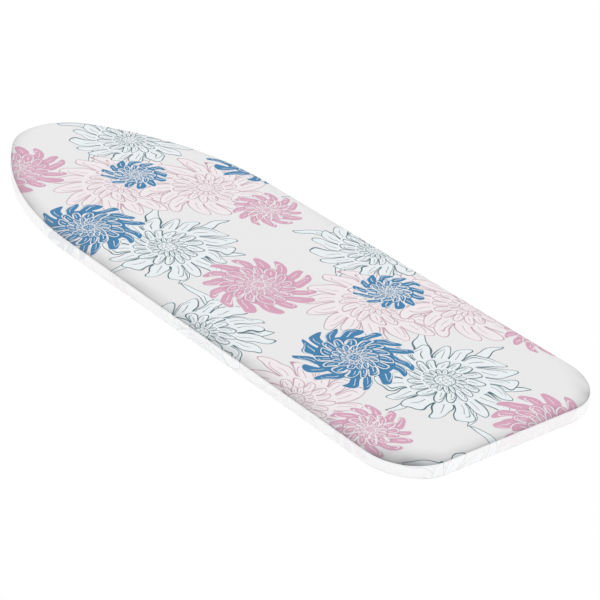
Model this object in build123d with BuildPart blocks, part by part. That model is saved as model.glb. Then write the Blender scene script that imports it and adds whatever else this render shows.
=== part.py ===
from build123d import *
import math
import os

# Folding ironing board, lying flat with its legs folded under it.
#
# Frame, in millimetres: +X points to the rounded nose, +Y to the left side seen from the
# tail, +Z up.  The origin is on the floor under the middle of the board.  The folded board
# lies on the flats of its four rubber feet, with every leg tube in one plane.
#
# The legs are an equal-armed cross.  The outer leg turns on two fixed pins near the nose,
# the inner leg turns on the outer leg where they cross, and the inner leg's top bar slides
# in a guide channel, where a plate that tilts on a rod grips it at any height.

os.makedirs("parts", exist_ok=True)

# ---------------------------------------------------------------- board outline
board_length = 1300.0
board_width = 450.0
side_end_x = 217.5  # where the straight sides end and the nose starts
nose_tip_radius = 112.6
tail_corner_radius = 93.3

# ---------------------------------------------------------------- cover, pad, top
cover_thickness = 1.0
crown_drop = 4.0  # how far the padded top falls off at its edge
crown_width = 30.0
hem_width = 25.0
pad_thickness = 8.0
panel_thickness = 1.2
panel_edge = 5.0  # panel edge to the outside of the cover
rim_height = 16.0
rim_width = 14.0
rim_corner = 4.0
rim_wall = 1.2
rim_clearance = 0.3  # rim tube to the inside of the cover
vent_diameter = 5.0

mesh_pitch_x = 90.0
mesh_pitch_y = 45.0
mesh_strand = 7.0
mesh_margin = 20.0

rib_start = 50.0  # folded sliding bar to the first rib
rib_spacing = 150.0  # between the ribs that the guide channel crosses
middle_rib_start = 160.0  # leg crossing to the first rib past the channel
middle_rib_spacing = 140.0
rib_width = 24.0
rib_wall = 1.2
rib_clearance = 0.8  # ribs above the folded leg tubes

# ---------------------------------------------------------------- legs
leg_diameter = 22.0
leg_wall = 1.2
leg_gap = 8.0  # between the inner and the outer leg tubes
leg_end = 8.0  # tube past its top pivot
leg_end_taper = 4.0  # spun taper at that end
outer_leg_y = 85.0
upper_leg = 450.0  # fixed pivot to crossing, and crossing to sliding bar
foot_reach = 50.0  # how much longer the legs are below the crossing
foot_tail_inset = 50.0  # folded foot bar to the tail end
open_angle = 58.0  # leg angle at the highest setting
outer_foot_inset = 70.0  # end of the tail foot bar to the side of the board
inner_foot_inset = 43.0  # end of the nose foot bar to the side of the board there
foot_cap_wall = 3.5
foot_cap_depth = 26.0
foot_flat = 0.5  # depth of the flat that the folded board lies on
foot_clearance = 0.05
tie_diameter = 12.0
tie_distance = 250.0  # crossing to the inner leg's tie

# ---------------------------------------------------------------- pins and bolts
pivot_pin_diameter = 10.0
pin_head_diameter = 16.0
pin_head_height = 2.0
crossing_bolt_diameter = 8.0
bolt_head_diameter = 14.0
bolt_head_height = 4.0
nut_height = 6.0
spacer_diameter = 18.0
running_clearance = 0.05  # radial, shaft in hole
side_clearance = 0.3  # between faces that pass each other

bracket_wall = 2.5
bracket_length = 46.0
bracket_side_play = 0.5
ear_radius = 9.0
pivot_plate_length = 60.0
pivot_plate_thickness = 1.5

# ---------------------------------------------------------------- guide and lock
crossbar_diameter = 10.0
crossbar_proud = 1.5
channel_width = 36.0  # inside
channel_wall = 1.5
channel_lip = 3.7  # wall left below the slot
channel_flange = 5.0
channel_tail_gap = 11.0  # channel end to the folded foot bar
channel_nose_gap = 16.0  # channel end to the lever at the highest setting
slot_clearance = 0.3
slot_overrun = 0.5
rod_diameter = 8.0
rod_above_crossbar = 2.3
rod_headroom = 2.0
rod_proud = 1.5
end_plate_thickness = 2.0
end_plate_margin = 2.5

block_half_length = 16.0
block_wall = 2.45  # under the crossbar
cheek_reach = 24.0  # from the block's face
cheek_thickness = 4.8
cheek_height = 9.5
lever_pin_diameter = 4.0
lever_pin_reach = 18.0  # block face to lever pin
lever_pin_drop = 4.0  # lever pin below the crossbar
lever_angle = 8.0  # tilt of the gripping plate
lever_plate = 3.0
lever_side_play = 0.5
lever_top_margin = 4.05  # plate beyond the rod hole's centre
lever_bore_clearance = 0.3
knuckle_wall = 1.6
tab_length = 50.0
tab_thickness = 2.6
tab_width = 20.0
grip_length = 31.0
grip_wall = 3.0
grip_edge = 1.5
spring_wire = 1.2  # square wire
spring_turns = 4

# ---------------------------------------------------------------- places
half_length = board_length / 2
half_width = board_width / 2
leg_radius = leg_diameter / 2
foot_cap_radius = leg_radius + foot_cap_wall
rod_radius = rod_diameter / 2
crossbar_radius = crossbar_diameter / 2

leg_z = foot_cap_radius - foot_flat
rod_z = leg_z + crossbar_radius + rod_above_crossbar + rod_radius
channel_top_z = rod_z + rod_radius + rod_headroom
panel_z = channel_top_z + channel_wall
pad_z = panel_z + panel_thickness
cover_top_z = pad_z + pad_thickness + cover_thickness
rim_z = panel_z - rim_height / 2
rim_inset = cover_thickness + rim_clearance + rim_width / 2
rib_z = leg_z + leg_radius + rib_clearance
hem_z = panel_z - rim_height - cover_thickness

inner_leg_y = outer_leg_y - leg_diameter - leg_gap
outer_foot_x = foot_tail_inset - half_length
slide_x = outer_foot_x + foot_reach
crossing_x = slide_x + upper_leg
pivot_x = crossing_x + upper_leg
inner_foot_x = pivot_x + foot_reach
slide_open_x = pivot_x - 2 * upper_leg * math.cos(math.radians(open_angle))
tie_x = crossing_x + tie_distance

slot_half = crossbar_radius + slot_clearance
channel_z = leg_z - slot_half - channel_lip
channel_half = channel_width / 2
channel_outer = channel_half + channel_wall
lever_reach = block_half_length + lever_pin_reach + tab_length + grip_edge
channel_tail_x = outer_foot_x + leg_radius + channel_tail_gap
channel_nose_x = slide_open_x + lever_reach + channel_nose_gap

lever_pin_x = slide_x + block_half_length + lever_pin_reach
lever_pin_z = leg_z - lever_pin_drop
block_z = leg_z - crossbar_radius - block_wall
block_top_z = channel_top_z - side_clearance
block_half_width = channel_half - side_clearance
cheek_inner = block_half_width - cheek_thickness
lever_half_width = cheek_inner - lever_side_play


def save(piece, name):
    """Label a finished piece and write it as its own STEP file."""
    piece.label = name
    export_step(piece, f"parts/{name}.step")


# ---------------------------------------------------------------- outline helpers
def nose_arc_radius():
    """Radius of the long nose arc, tangent to the side and to the tip arc."""
    run = half_length - nose_tip_radius - side_end_x
    rise = half_width
    return (run**2 + rise**2 - nose_tip_radius**2) / (2 * (rise - nose_tip_radius))


def nose_arc_angle():
    """Degrees that the long nose arc turns before the tip arc takes over."""
    run = half_length - nose_tip_radius - side_end_x
    return math.degrees(math.asin(run / (nose_arc_radius() - nose_tip_radius)))


def half_width_at(x):
    """Half width of the board's outline at x."""
    if x < -half_length + tail_corner_radius:
        reach = tail_corner_radius - (x + half_length)
        return half_width - tail_corner_radius + math.sqrt(max(tail_corner_radius**2 - reach**2, 0))
    if x < side_end_x:
        return half_width
    radius = nose_arc_radius()
    join_x = side_end_x + radius * math.sin(math.radians(nose_arc_angle()))
    if x < join_x:
        return half_width - radius + math.sqrt(radius**2 - (x - side_end_x) ** 2)
    reach = x - (half_length - nose_tip_radius)
    return math.sqrt(max(nose_tip_radius**2 - reach**2, 0))


def outline_wire(inset):
    """The board's closed outline, moved inwards by inset."""
    with BuildLine() as outline:
        corner = tail_corner_radius - inset
        tail = Line((-half_length + inset, 0), (-half_length + inset, half_width - tail_corner_radius))
        JernArc(tail @ 1, (0, 1), corner, -90)
        side_y = half_width - inset
        side = Line((-half_length + tail_corner_radius, side_y), (side_end_x, side_y))
        nose = JernArc(side @ 1, (1, 0), nose_arc_radius() - inset, -nose_arc_angle())
        JernArc(nose @ 1, nose % 1, nose_tip_radius - inset, nose_arc_angle() - 90)
        mirror(about=Plane.XZ)
    return outline.wire()


def rim_section(path, wall):
    """The rim tube's section, standing across the start of its path; no wall leaves it solid."""
    start = (path @ 0) + Vector(0, 0, rim_z)
    with BuildSketch(Plane(origin=start, x_dir=(1, 0, 0), z_dir=path % 0)) as section:
        RectangleRounded(rim_width, rim_height, rim_corner)
        if wall:
            inner_width = rim_width - 2 * wall
            inner_height = rim_height - 2 * wall
            RectangleRounded(inner_width, inner_height, rim_corner - wall, mode=Mode.SUBTRACT)
    return section.sketch


def rim_room():
    """The space inside the rim, up to the tube, for coping what is welded to it."""
    path = outline_wire(rim_inset)
    with BuildPart() as room:
        with BuildSketch(Plane.XY.offset(hem_z)):
            make_face(path)
        extrude(amount=cover_top_z - hem_z)
        tube_path = path.moved(Location((0, 0, rim_z)))
        sweep(rim_section(path, 0), path=tube_path, mode=Mode.SUBTRACT)
    return room.part


def cross_bore(x, y, radius, width):
    """A round bore along Y at leg height, through a width centred on y, to be cut away."""
    with BuildPart() as bore:
        with BuildSketch(Plane.XZ.offset(-y)):
            with Locations((x, leg_z)):
                Circle(radius)
        extrude(amount=width / 2, both=True)
    return bore.part


# ---------------------------------------------------------------- the top
def make_cover():
    """Fabric cover: crowned top, side skirt and the hem drawn in under the rim."""
    with BuildPart() as cover:
        for inset in (0, cover_thickness):
            mode = Mode.SUBTRACT if inset else Mode.ADD
            with BuildPart(mode=mode) as slab:
                with BuildSketch(Plane.XY.offset(hem_z + inset)):
                    make_face(outline_wire(inset))
                extrude(amount=cover_top_z - hem_z - 2 * inset)
                top = slab.faces().sort_by(Axis.Z)[-1]
                chamfer(top.edges(), length=crown_width, length2=crown_drop, reference=top)
        with BuildSketch(Plane.XY.offset(hem_z)):
            make_face(outline_wire(hem_width))
        extrude(amount=cover_thickness, mode=Mode.SUBTRACT)
    save(cover.part, "cover")


def make_pad():
    """Foam pad between the cover and the steel top, thinner along its edge."""
    with BuildPart() as pad:
        with BuildSketch(Plane.XY.offset(pad_z)):
            make_face(outline_wire(cover_thickness))
        extrude(amount=pad_thickness)
        top = pad.faces().sort_by(Axis.Z)[-1]
        chamfer(top.edges(), length=crown_width, length2=crown_drop, reference=top)
    save(pad.part, "foam_pad")


def mesh_centres():
    """Centres of the openings in the steel top that lie well inside its edge."""
    columns = int(board_length / mesh_pitch_x)
    rows = int(board_width / mesh_pitch_y)
    for column in range(-columns, columns + 1):
        for row in range(-rows, rows + 1):
            if (column + row) % 2:
                continue
            x = column * mesh_pitch_x / 2
            y = row * mesh_pitch_y / 2
            reach = x + math.copysign(mesh_pitch_x / 2, x)
            if abs(reach) < half_length - mesh_margin:
                if abs(y) + mesh_pitch_y / 2 + mesh_margin < half_width_at(reach):
                    yield x, y


def make_top_panel():
    """Expanded steel top: diamond openings in a staggered pattern."""
    slope = math.hypot(mesh_pitch_x, mesh_pitch_y)
    share = 1 - mesh_strand * slope / (mesh_pitch_x * mesh_pitch_y)
    reach_x = share * mesh_pitch_x / 2
    reach_y = share * mesh_pitch_y / 2
    with BuildPart() as panel:
        with BuildSketch(Plane.XY.offset(panel_z)):
            make_face(outline_wire(panel_edge))
            with Locations(*mesh_centres()):
                Polygon((reach_x, 0), (0, reach_y), (-reach_x, 0), (0, -reach_y), mode=Mode.SUBTRACT)
        extrude(amount=panel_thickness)
    save(panel.part, "top_panel")


def make_rim():
    """Flat-sided steel tube bent round the whole outline, with its weld vent under the tail."""
    path = outline_wire(rim_inset)
    with BuildPart() as rim:
        sweep(rim_section(path, rim_wall), path=path.moved(Location((0, 0, rim_z))))
        with BuildSketch(Plane.XY.offset(rim_z)):
            with Locations((-half_length + rim_inset, 0)):
                Circle(vent_diameter / 2)
        extrude(amount=-rim_height, mode=Mode.SUBTRACT)
    save(rim.part, "rim_tube")


def make_rib(x, room, name):
    """Pressed channel-section rib across the board, open downwards, coped to the rim."""
    with BuildPart() as rib:
        with BuildSketch(Plane.XZ.offset(-half_width)):
            with Locations((x, (rib_z + panel_z) / 2)):
                Rectangle(rib_width, panel_z - rib_z)
            with Locations((x, (rib_z + panel_z) / 2 - rib_wall)):
                Rectangle(rib_width - 2 * rib_wall, panel_z - rib_z, mode=Mode.SUBTRACT)
        extrude(amount=board_width)
        add(room, mode=Mode.INTERSECT)
        if x - rib_width / 2 < channel_nose_x:
            with BuildSketch(Plane.XY.offset(rib_z)):
                with Locations((x, 0)):
                    Rectangle(2 * rib_width, 2 * channel_outer)
            extrude(amount=panel_z - rib_z, mode=Mode.SUBTRACT)
    save(rib.part, name)


def make_pivot_plate(room):
    """Flat strap under the steel top that spreads the fixed pivots' load to the rim."""
    with BuildPart() as plate:
        with BuildSketch(Plane.XY.offset(panel_z - pivot_plate_thickness)):
            with Locations((pivot_x, 0)):
                Rectangle(pivot_plate_length, board_width)
        extrude(amount=pivot_plate_thickness)
        add(room, mode=Mode.INTERSECT)
    save(plate.part, "pivot_plate")


def make_pivot_bracket(side, name):
    """Clevis welded under the pivot plate, with a rounded ear on each side of the tube."""
    top_z = panel_z - pivot_plate_thickness
    ear_gap = leg_diameter + 2 * bracket_side_play
    with BuildPart() as bracket:
        with BuildSketch(Plane.XZ.offset(-(side * outer_leg_y + ear_gap / 2 + bracket_wall))):
            with BuildLine():
                ears = Polyline(
                    (pivot_x + ear_radius, leg_z),
                    (pivot_x + bracket_length / 2, top_z),
                    (pivot_x - bracket_length / 2, top_z),
                    (pivot_x - ear_radius, leg_z),
                )
                ThreePointArc(ears @ 1, (pivot_x, leg_z - ear_radius), ears @ 0)
            make_face()
        extrude(amount=ear_gap + 2 * bracket_wall)
        with BuildSketch(Plane.YZ.offset(pivot_x)):
            with Locations((side * outer_leg_y, top_z - bracket_wall - leg_z)):
                Rectangle(ear_gap, 2 * leg_z)
        extrude(amount=bracket_length, both=True, mode=Mode.SUBTRACT)
        with BuildSketch(Plane.XZ.offset(-side * outer_leg_y)):
            with Locations((pivot_x, leg_z)):
                Circle(pivot_pin_diameter / 2 + running_clearance)
        extrude(amount=leg_diameter, both=True, mode=Mode.SUBTRACT)
    save(bracket.part, name)


# ---------------------------------------------------------------- guide channel
def make_guide_channel():
    """Pressed channel, open downwards, with a long slot in each wall for the crossbar."""
    height = panel_z - channel_z
    with BuildPart() as channel:
        with BuildSketch(Plane.YZ.offset(channel_tail_x)):
            with Locations((0, channel_z + height / 2)):
                Rectangle(2 * channel_outer, height)
            with Locations((0, channel_z + channel_wall / 2)):
                Rectangle(2 * (channel_outer + channel_flange), channel_wall)
            with Locations((0, channel_top_z - height)):
                Rectangle(channel_width, 2 * height, mode=Mode.SUBTRACT)
        extrude(amount=channel_nose_x - channel_tail_x)
        with BuildSketch(Plane.XZ):
            with Locations(((slide_x + slide_open_x) / 2, leg_z)):
                travel = slide_open_x - slide_x
                SlotOverall(travel + 2 * (crossbar_radius + slot_overrun), 2 * slot_half)
        extrude(amount=channel_outer, both=True, mode=Mode.SUBTRACT)
    save(channel.part, "guide_channel")


def make_end_plates():
    """Two plates that close the channel's ends and hold the lock rod."""
    bottom_z = rod_z - rod_radius - end_plate_margin
    with BuildPart() as plates:
        for x in (channel_tail_x, channel_nose_x - end_plate_thickness):
            with BuildSketch(Plane.YZ.offset(x)):
                with Locations((0, (bottom_z + channel_top_z) / 2)):
                    Rectangle(channel_width, channel_top_z - bottom_z)
                with Locations((0, rod_z)):
                    Circle(rod_radius, mode=Mode.SUBTRACT)
            extrude(amount=end_plate_thickness)
    save(plates.part, "channel_end_plates")


def make_lock_rod():
    """Smooth rod along the channel that the tilting plate grips."""
    with BuildPart() as rod:
        with BuildSketch(Plane.YZ.offset(channel_tail_x - rod_proud)):
            with Locations((0, rod_z)):
                Circle(rod_radius)
        extrude(amount=channel_nose_x - channel_tail_x + 2 * rod_proud)
        chamfer(rod.edges().filter_by(GeomType.CIRCLE), length=rod_proud / 2)
    save(rod.part, "lock_rod")


# ---------------------------------------------------------------- legs
def make_leg_tube(y, top_x, foot_x, holes, name):
    """Leg tube closed by a spun taper past its pivot, with its foot coped to the foot bar."""
    toward_top = math.copysign(1, top_x - foot_x)
    end = abs(top_x - foot_x) + leg_end
    shoulder = end - leg_end_taper
    bore = leg_radius - leg_wall
    with BuildPart() as tube:
        with BuildSketch(Plane(origin=(foot_x, y, leg_z), x_dir=(toward_top, 0, 0), z_dir=(0, -1, 0))):
            with BuildLine():
                Polyline(
                    (end, 0),
                    (end, leg_radius - leg_end_taper),
                    (shoulder, leg_radius),
                    (0, leg_radius),
                    (0, bore),
                    (shoulder - leg_wall, bore),
                    (end - leg_wall, bore - leg_end_taper),
                    (end - leg_wall, 0),
                    close=True,
                )
            make_face()
        revolve(axis=Axis((foot_x, y, leg_z), (1, 0, 0)))
        add(cross_bore(foot_x, y, leg_radius, 2 * leg_diameter), mode=Mode.SUBTRACT)
        for hole_x, hole_radius in holes:
            add(cross_bore(hole_x, y, hole_radius, 2 * leg_diameter), mode=Mode.SUBTRACT)
    save(tube.part, name)


def make_foot_bar(x, length, name):
    """Tube across the foot of a leg, its ends inside the rubber feet."""
    with BuildPart() as bar:
        with BuildSketch(Plane.XZ):
            with Locations((x, leg_z)):
                Circle(leg_radius)
                Circle(leg_radius - leg_wall, mode=Mode.SUBTRACT)
        extrude(amount=length / 2 - foot_cap_wall, both=True)
    save(bar.part, name)


def make_foot_cap(x, side, length, name):
    """Rubber foot pushed over the end of a foot bar, flat where the board lies on it."""
    end_plane = Plane(origin=(x, side * length / 2, leg_z), x_dir=(1, 0, 0), z_dir=(0, -side, 0))
    with BuildPart() as cap:
        with BuildSketch(end_plane):
            Circle(foot_cap_radius)
        extrude(amount=foot_cap_depth)
        rims = cap.edges().filter_by(GeomType.CIRCLE)
        chamfer(rims.sort_by(Axis.Y)[-1 if side > 0 else 0], length=foot_cap_wall / 2)
        with BuildSketch(end_plane.offset(foot_cap_wall)):
            Circle(leg_radius + foot_clearance)
        extrude(amount=foot_cap_depth, mode=Mode.SUBTRACT)
        split(bisect_by=Plane.XY)
    save(cap.part, name)


def make_crossbar():
    """Bar welded through the tops of the inner leg's tubes; it rides in the channel."""
    half = inner_leg_y + leg_radius + crossbar_proud
    with BuildPart() as bar:
        with BuildSketch(Plane.XZ):
            with Locations((slide_x, leg_z)):
                Circle(crossbar_radius)
        extrude(amount=half, both=True)
        chamfer(bar.edges().filter_by(GeomType.CIRCLE), length=crossbar_proud / 2)
    save(bar.part, "inner_crossbar")


def make_tie():
    """Tie between the inner leg's tubes, coped to both."""
    with BuildPart() as tie:
        with BuildSketch(Plane.XZ):
            with Locations((tie_x, leg_z)):
                Circle(tie_diameter / 2)
        extrude(amount=inner_leg_y, both=True)
        for side in (-1, 1):
            with BuildSketch(Plane.YZ.offset(tie_x)):
                with Locations((side * inner_leg_y, leg_z)):
                    Circle(leg_radius)
            extrude(amount=leg_diameter, both=True, mode=Mode.SUBTRACT)
    save(tie.part, "inner_tie")


# ---------------------------------------------------------------- pins and bolts
def pin_stack(x, steps):
    """Coaxial discs along Y on both sides: steps are (inner y, outer y, radius, sides)."""
    with BuildPart() as stack:
        for side in (-1, 1):
            for inner_y, outer_y, radius, corners in steps:
                with BuildSketch(Plane.XZ.offset(-side * inner_y)):
                    with Locations((x, leg_z)):
                        if corners:
                            RegularPolygon(radius, corners, major_radius=False)
                        else:
                            Circle(radius)
                extrude(amount=-side * (outer_y - inner_y))
    return stack


def make_pivot_pins():
    """Headed pins through the brackets and the outer leg's tubes."""
    reach = leg_radius + bracket_side_play + bracket_wall
    inner_y = outer_leg_y - reach
    outer_y = outer_leg_y + reach
    steps = (
        (inner_y - pin_head_height, inner_y, pin_head_diameter / 2, 0),
        (inner_y, outer_y, pivot_pin_diameter / 2, 0),
        (outer_y, outer_y + pin_head_height, pin_head_diameter / 2, 0),
    )
    pins = pin_stack(pivot_x, steps)
    save(pins.part, "pivot_pins")


def make_crossing_hardware():
    """Bolt, spacer and nut at each crossing of the inner and the outer leg."""
    head_y = outer_leg_y + leg_radius
    nut_y = inner_leg_y - leg_radius - side_clearance
    bolt_radius = crossing_bolt_diameter / 2
    bolts = pin_stack(
        crossing_x,
        (
            (nut_y - nut_height, head_y, bolt_radius, 0),
            (head_y, head_y + bolt_head_height, bolt_head_diameter / 2, 0),
        ),
    )
    save(bolts.part, "crossing_bolts")

    spacers = pin_stack(
        crossing_x,
        ((inner_leg_y + leg_radius + side_clearance, outer_leg_y - leg_radius, spacer_diameter / 2, 0),),
    )
    with spacers:
        add(cross_bore(crossing_x, 0, bolt_radius, 2 * head_y), mode=Mode.SUBTRACT)
    save(spacers.part, "crossing_spacers")

    nuts = pin_stack(crossing_x, ((nut_y - nut_height, nut_y, bolt_head_diameter / 2, 6),))
    with nuts:
        add(cross_bore(crossing_x, 0, bolt_radius, 2 * head_y), mode=Mode.SUBTRACT)
    save(nuts.part, "crossing_nuts")


# ---------------------------------------------------------------- slide block and lock
def make_slide_block():
    """Nylon block on the crossbar, with two cheeks that carry the lever's pin."""
    face_x = slide_x + block_half_length
    with BuildPart() as block:
        with BuildSketch(Plane.XZ):
            with Locations((slide_x, (block_z + block_top_z) / 2)):
                Rectangle(2 * block_half_length, block_top_z - block_z)
        extrude(amount=block_half_width, both=True)
        fillet(block.edges().filter_by(Axis.Z), radius=block_wall)
        with BuildSketch(Plane.XZ):
            with Locations((face_x, block_z + cheek_height / 2)):
                Rectangle(2 * cheek_reach, cheek_height)
        extrude(amount=block_half_width, both=True)
        with BuildSketch(Plane.XZ):
            with Locations((face_x + cheek_reach, block_z + cheek_height / 2)):
                Rectangle(2 * cheek_reach, cheek_height)
        extrude(amount=cheek_inner, both=True, mode=Mode.SUBTRACT)
        crossbar_bore = cross_bore(slide_x, 0, crossbar_radius + running_clearance, 2 * channel_width)
        add(crossbar_bore, mode=Mode.SUBTRACT)
        with BuildSketch(Plane.XZ):
            with Locations((lever_pin_x, lever_pin_z)):
                Circle(lever_pin_diameter / 2)
        extrude(amount=channel_width, both=True, mode=Mode.SUBTRACT)
        with BuildSketch(Plane.YZ.offset(slide_x)):
            with Locations((0, rod_z)):
                Circle(rod_radius + lever_bore_clearance)
        extrude(amount=2 * block_half_length, both=True, mode=Mode.SUBTRACT)
    save(block.part, "slide_block")


def make_lever_pin():
    """Pin pressed through the block's cheeks."""
    with BuildPart() as pin:
        with BuildSketch(Plane.XZ):
            with Locations((lever_pin_x, lever_pin_z)):
                Circle(lever_pin_diameter / 2)
        extrude(amount=block_half_width, both=True)
    save(pin.part, "lever_pin")


def make_lock_spring():
    """Coil spring round the rod that keeps the gripping plate tilted."""
    start_x = slide_x + block_half_length
    room = lever_pin_reach - lever_plate / 2 - side_clearance
    pitch = (room - spring_wire) / spring_turns
    coil_radius = rod_radius + lever_bore_clearance + side_clearance + spring_wire / 2
    axis_plane = Plane(origin=(start_x + spring_wire / 2, 0, rod_z), x_dir=(0, 1, 0), z_dir=(1, 0, 0))
    coil = axis_plane.location * Helix(pitch, pitch * spring_turns, coil_radius)
    with BuildPart() as spring:
        with BuildSketch(Plane(origin=coil @ 0, x_dir=(1, 0, 0), z_dir=coil % 0)):
            Rectangle(spring_wire, spring_wire)
        sweep(path=coil, is_frenet=True)
    save(spring.part, "lock_spring")


def make_lock_lever():
    """Gripping plate with its pin knuckle and the finger tab, in one bent strip."""
    tilt = math.radians(lever_angle)
    along = Vector(math.sin(tilt), 0, math.cos(tilt))
    normal = Vector(math.cos(tilt), 0, -math.sin(tilt))
    pin = Vector(lever_pin_x, 0, lever_pin_z)
    hole_distance = (rod_z - lever_pin_z) / math.cos(tilt)
    plate_length = hole_distance + lever_top_margin
    knuckle_radius = lever_pin_diameter / 2 + knuckle_wall
    plate_plane = Plane(origin=pin, x_dir=normal, z_dir=(0, -1, 0))
    with BuildPart() as lever:
        with BuildSketch(plate_plane):
            with Locations((0, plate_length / 2)):
                Rectangle(lever_plate, plate_length)
            Circle(knuckle_radius)
        extrude(amount=lever_half_width, both=True)
        with BuildSketch(Plane(origin=pin, x_dir=(1, 0, 0), z_dir=(0, -1, 0))):
            with Locations((tab_length / 2, tab_thickness / 2 - knuckle_radius)):
                Rectangle(tab_length, tab_thickness)
        extrude(amount=tab_width / 2, both=True)
        with BuildSketch(Plane(origin=pin, x_dir=(1, 0, 0), z_dir=(0, -1, 0))):
            Circle(lever_pin_diameter / 2 + running_clearance)
        extrude(amount=channel_width, both=True, mode=Mode.SUBTRACT)
        with BuildSketch(Plane(origin=pin + along * hole_distance, x_dir=(0, 1, 0), z_dir=normal)):
            Circle(rod_radius + lever_bore_clearance)
        extrude(amount=lever_plate, both=True, mode=Mode.SUBTRACT)
    save(lever.part, "lock_lever")


def make_lever_grip():
    """Plastic grip pushed over the end of the finger tab."""
    middle_x = lever_pin_x + tab_length + grip_edge - grip_length / 2
    tab_z = lever_pin_z - lever_pin_diameter / 2 - knuckle_wall + tab_thickness / 2
    with BuildPart() as grip:
        with BuildSketch(Plane.XY.offset(tab_z)):
            with Locations((middle_x, 0)):
                RectangleRounded(grip_length, tab_width + 2 * grip_wall, grip_wall)
        extrude(amount=tab_thickness / 2 + grip_wall, both=True)
        chamfer(grip.faces().sort_by(Axis.Z)[0].edges(), length=grip_wall / 3)
        chamfer(grip.faces().sort_by(Axis.Z)[-1].edges(), length=grip_wall / 3)
        with BuildSketch(Plane.YZ.offset(lever_pin_x)):
            with Locations((0, tab_z)):
                Rectangle(tab_width, tab_thickness)
        extrude(amount=tab_length, mode=Mode.SUBTRACT)
    save(grip.part, "lever_grip")


# ---------------------------------------------------------------- the whole board
make_cover()
make_pad()
make_top_panel()
make_rim()
welding_room = rim_room()
channel_rib_xs = [slide_x + rib_start + step * rib_spacing for step in range(3)]
middle_rib_xs = [crossing_x + middle_rib_start + step * middle_rib_spacing for step in range(2)]
nose_rib_x = (inner_foot_x + half_length) / 2
for number, rib_x in enumerate((*channel_rib_xs, *middle_rib_xs, nose_rib_x), start=1):
    make_rib(rib_x, welding_room, f"cross_rib_{number}")
make_pivot_plate(welding_room)
for side, word in ((1, "left"), (-1, "right")):
    make_pivot_bracket(side, f"pivot_bracket_{word}")
make_guide_channel()
make_end_plates()
make_lock_rod()

outer_foot_length = board_width - 2 * outer_foot_inset
inner_foot_length = 2 * (half_width_at(inner_foot_x + foot_cap_radius) - inner_foot_inset)
pin_bore = pivot_pin_diameter / 2
bolt_bore = crossing_bolt_diameter / 2
outer_holes = ((pivot_x, pin_bore), (crossing_x, bolt_bore))
inner_holes = ((slide_x, crossbar_radius), (crossing_x, bolt_bore + running_clearance))
for side, word in ((1, "left"), (-1, "right")):
    make_leg_tube(side * outer_leg_y, pivot_x, outer_foot_x, outer_holes, f"outer_leg_tube_{word}")
    make_leg_tube(side * inner_leg_y, slide_x, inner_foot_x, inner_holes, f"inner_leg_tube_{word}")
    make_foot_cap(outer_foot_x, side, outer_foot_length, f"outer_foot_cap_{word}")
    make_foot_cap(inner_foot_x, side, inner_foot_length, f"inner_foot_cap_{word}")
make_foot_bar(outer_foot_x, outer_foot_length, "outer_foot_bar")
make_foot_bar(inner_foot_x, inner_foot_length, "inner_foot_bar")
make_crossbar()
make_tie()
make_pivot_pins()
make_crossing_hardware()

make_slide_block()
make_lever_pin()
make_lock_spring()
make_lock_lever()
make_lever_grip()
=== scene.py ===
import math
from collections import namedtuple

import bmesh
import bpy
from mathutils import Matrix, Vector, kdtree, noise


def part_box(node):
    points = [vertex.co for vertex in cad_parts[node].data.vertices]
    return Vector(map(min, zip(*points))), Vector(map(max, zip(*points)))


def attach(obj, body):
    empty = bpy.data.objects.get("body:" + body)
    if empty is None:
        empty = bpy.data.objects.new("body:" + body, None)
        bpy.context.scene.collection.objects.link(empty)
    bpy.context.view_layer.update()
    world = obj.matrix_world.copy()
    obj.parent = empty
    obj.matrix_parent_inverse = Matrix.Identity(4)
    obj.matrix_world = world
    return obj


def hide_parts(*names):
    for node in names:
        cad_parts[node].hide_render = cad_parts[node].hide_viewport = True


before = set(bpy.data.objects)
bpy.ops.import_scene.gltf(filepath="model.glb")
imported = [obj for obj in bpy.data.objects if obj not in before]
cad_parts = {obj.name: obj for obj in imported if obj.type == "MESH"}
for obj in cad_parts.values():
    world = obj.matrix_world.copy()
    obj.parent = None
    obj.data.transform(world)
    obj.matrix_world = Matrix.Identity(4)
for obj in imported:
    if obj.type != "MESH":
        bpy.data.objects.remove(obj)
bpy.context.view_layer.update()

bl_info = {
    "name": "Ironing board",
    "version": (1, 0, 0),
    "blender": (4, 5, 0),
    "location": "View3D > Sidebar > Board",
    "description": "Dresses the packed ironing board: cover, padding, steel mesh and every finish",
    "category": "Add Mesh",
}

MM = 0.001
COVER_LOW, COVER_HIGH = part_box("cover")
PAD_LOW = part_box("foam_pad")[0]
PANEL_LOW, PANEL_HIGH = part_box("top_panel")


# ---------------------------------------------------------------- colours and nodes
def linear(code):
    """Turn an sRGB hex colour into linear RGBA."""
    parts = [int(code[i : i + 2], 16) / 255 for i in (1, 3, 5)]
    return [c / 12.92 if c <= 0.04045 else ((c + 0.055) / 1.055) ** 2.4 for c in parts] + [1.0]


def blend(first, second, share):
    """A linear colour part of the way from one to another."""
    return [a + (b - a) * share for a, b in zip(first, second)]


def add(tree, kind, *values, links=None, **settings):
    """Add a shader node, set it up, feed its inputs in order or by name, and return it.

    A node with an operation is asked for as one word and the operation: "Math ADD".
    """
    kind, *operation = kind.split()
    node = tree.nodes.new("ShaderNode" + kind)
    for name, value in [*settings.items(), *(("operation", word) for word in operation)]:
        setattr(node, name, value)
    for key, value in [*enumerate(values), *(links or {}).items()]:
        if value is None:
            continue
        if isinstance(value, bpy.types.Node):
            value = value.outputs[0]
        if isinstance(value, bpy.types.NodeSocket):
            tree.links.new(value, node.inputs[key])
        else:
            node.inputs[key].default_value = value
    return node


def new_material(name):
    """An empty node material, and the tree to build in."""
    material = bpy.data.materials.new(name)
    material.use_nodes = True
    material.node_tree.nodes.clear()
    return material, material.node_tree


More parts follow.
